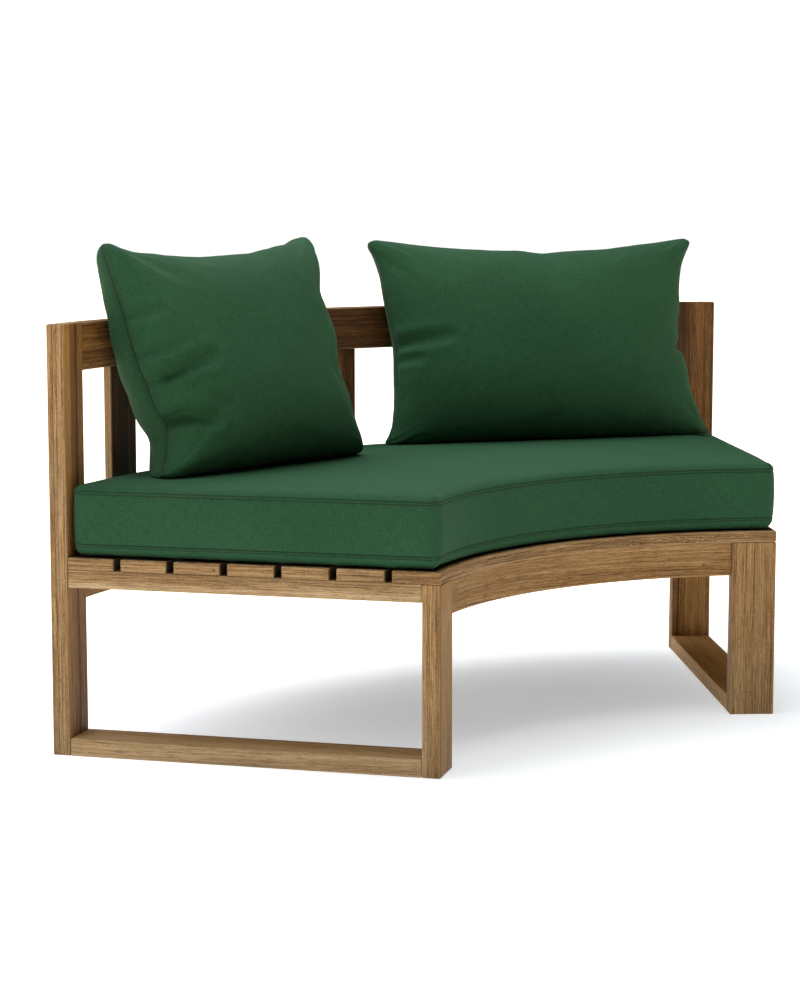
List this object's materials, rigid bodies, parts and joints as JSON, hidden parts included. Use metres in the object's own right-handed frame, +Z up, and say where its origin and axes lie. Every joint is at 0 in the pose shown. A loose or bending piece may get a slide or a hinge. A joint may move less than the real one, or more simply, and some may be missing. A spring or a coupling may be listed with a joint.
{
  "type": "curved bench module",
  "caption": "Armless curved outdoor bench module with slatted timber seat, open curved back, boxed seat cushion and loose square and lumbar pillows.",
  "frame": {"origin": "on the floor, under the middle of the object's box", "axes": "+Z up; +X along the bench; the sitter faces -Y, towards the centre of the ring, so left and right in the names are as seen from the front, with left at -X"},
  "size_m": [1.5428, 0.7834, 0.8418],
  "materials": {
    "teak": "weathered, sanded teak with eased edges",
    "green_fabric": "matte woven outdoor fabric over foam",
    "pillow_fabric": "matte woven outdoor fabric over fibre filling",
    "steel": "stainless screws"
  },
  "bodies": {
    "frame": {"left_front_leg": "teak", "right_front_leg": "teak", "left_rear_post": "teak", "right_rear_post": "teak", "left_bottom_rail": "teak", "right_bottom_rail": "teak", "left_side_rail": "teak", "right_side_rail": "teak", "front_apron": "teak", "rear_apron": "teak", "top_back_rail": "teak", "left_back_upright": "teak", "middle_back_upright": "teak", "right_back_upright": "teak", "left_bearer": "teak", "right_bearer": "teak", "front_board": "teak", "seat_board_1": "teak", "seat_board_2": "teak", "seat_board_3": "teak", "seat_board_4": "teak", "seat_board_5": "teak", "seat_board_6": "teak", "seat_screw_0_left_rail": "steel", "seat_screw_1_left_rail": "steel", "seat_screw_2_left_rail": "steel", "seat_screw_3_left_rail": "steel", "seat_screw_4_left_rail": "steel", "seat_screw_5_left_rail": "steel", "seat_screw_6_left_rail": "steel", "seat_screw_0_right_rail": "steel", "seat_screw_1_right_rail": "steel", "seat_screw_2_right_rail": "steel", "seat_screw_3_right_rail": "steel", "seat_screw_4_right_rail": "steel", "seat_screw_5_right_rail": "steel", "seat_screw_6_right_rail": "steel", "seat_screw_0_left_bearer": "steel", "seat_screw_1_left_bearer": "steel", "seat_screw_2_left_bearer": "steel", "seat_screw_3_left_bearer": "steel", "seat_screw_4_left_bearer": "steel", "seat_screw_5_left_bearer": "steel", "seat_screw_6_left_bearer": "steel", "seat_screw_0_right_bearer": "steel", "seat_screw_1_right_bearer": "steel", "seat_screw_2_right_bearer": "steel", "seat_screw_3_right_bearer": "steel", "seat_screw_4_right_bearer": "steel", "seat_screw_5_right_bearer": "steel", "seat_screw_6_right_bearer": "steel"},
    "seat_cushion": {"seat_cushion": "green_fabric"},
    "square_pillow": {"square_pillow": "pillow_fabric"},
    "lumbar_pillow": {"lumbar_pillow": "pillow_fabric"}
  },
  "joints": [
    {"name": "seat_cushion_lift", "type": "slide", "parent": "frame", "child": "seat_cushion", "axis": [0, 0, 1], "range_m": [0, 0.41]},
    {"name": "square_pillow_lift", "type": "slide", "parent": "seat_cushion", "child": "square_pillow", "axis": [0, 0, 1], "range_m": [0, 0.28]},
    {"name": "lumbar_pillow_lift", "type": "slide", "parent": "seat_cushion", "child": "lumbar_pillow", "axis": [0, 0, 1], "range_m": [0, 0.28]}
  ]
}
